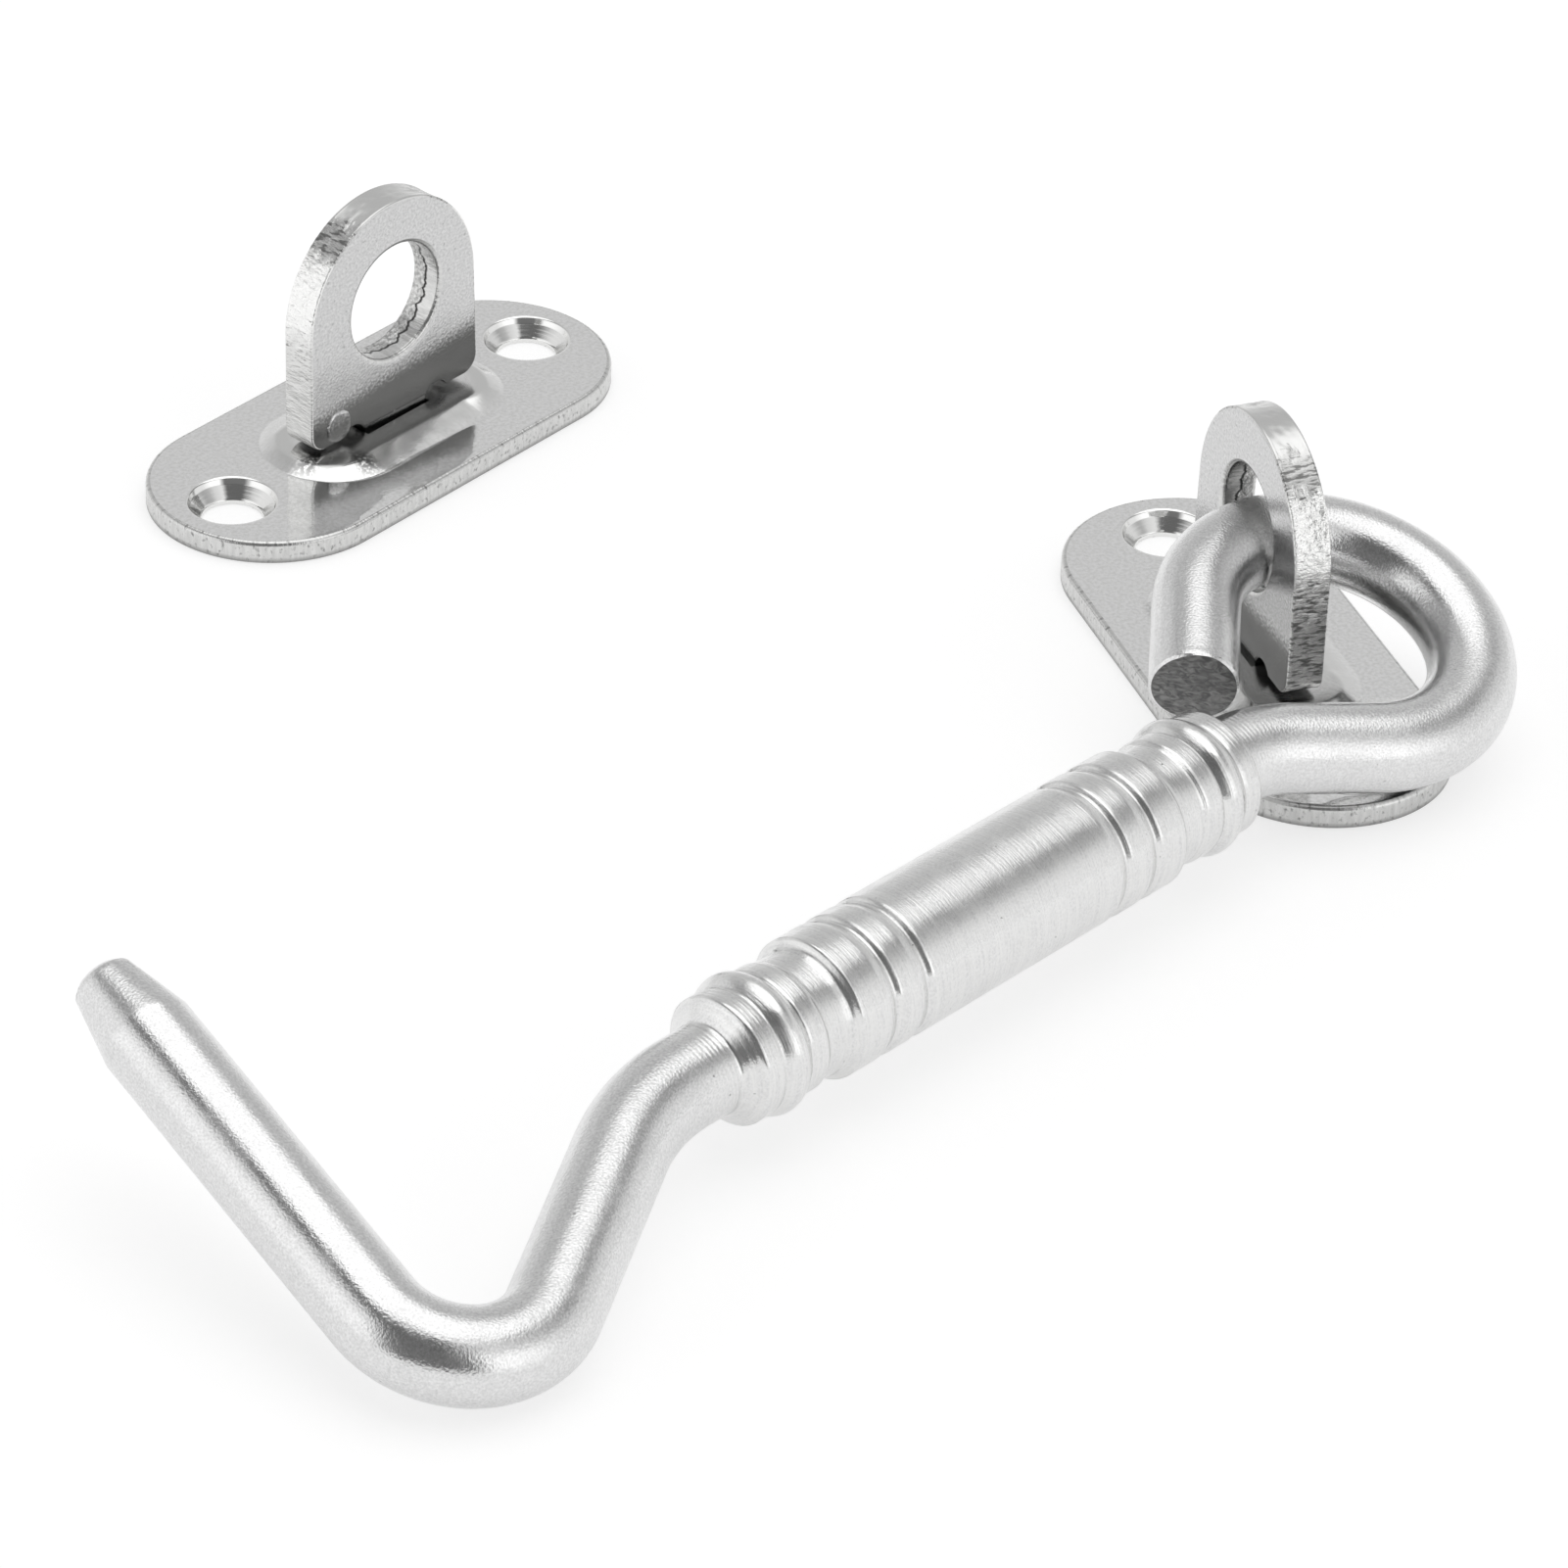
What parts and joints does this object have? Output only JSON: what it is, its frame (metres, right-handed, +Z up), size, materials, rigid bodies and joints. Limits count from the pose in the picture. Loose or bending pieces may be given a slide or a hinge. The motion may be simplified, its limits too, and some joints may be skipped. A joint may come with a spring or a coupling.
{
  "type": "hook and eye latch",
  "caption": "Cabin hook turned from bar, hung by its loop in a riveted eye plate, with a matching keeper eye plate beside it.",
  "frame": {"origin": "point on the underside of the hook's eye plate, on its long axis, between the boss and the screw hole under the loop", "axes": "+Z up from the surface that both plates and the crook lie on, +Y away from the viewer of the picture, +X to the right"},
  "size_m": [0.1255, 0.1739, 0.026],
  "materials": {
    "turned_stainless": "bright turned and tumbled stainless steel",
    "polished_stainless": "barrel-polished stainless steel sheet",
    "blanked_stainless": "blanked and tumbled stainless steel plate"
  },
  "bodies": {
    "base": {"hook_plate": "polished_stainless", "hook_eye": "blanked_stainless", "keeper_plate": "polished_stainless", "keeper_eye": "blanked_stainless"},
    "hook": {"hook": "turned_stainless"}
  },
  "joints": [
    {"name": "hook_swing", "type": "hinge", "parent": "base", "child": "hook", "pos_m": [-0.0054, 0.01421, 0.01505], "axis": [-0.9348, -0.3551, 0], "range_deg": [0, 170]}
  ]
}
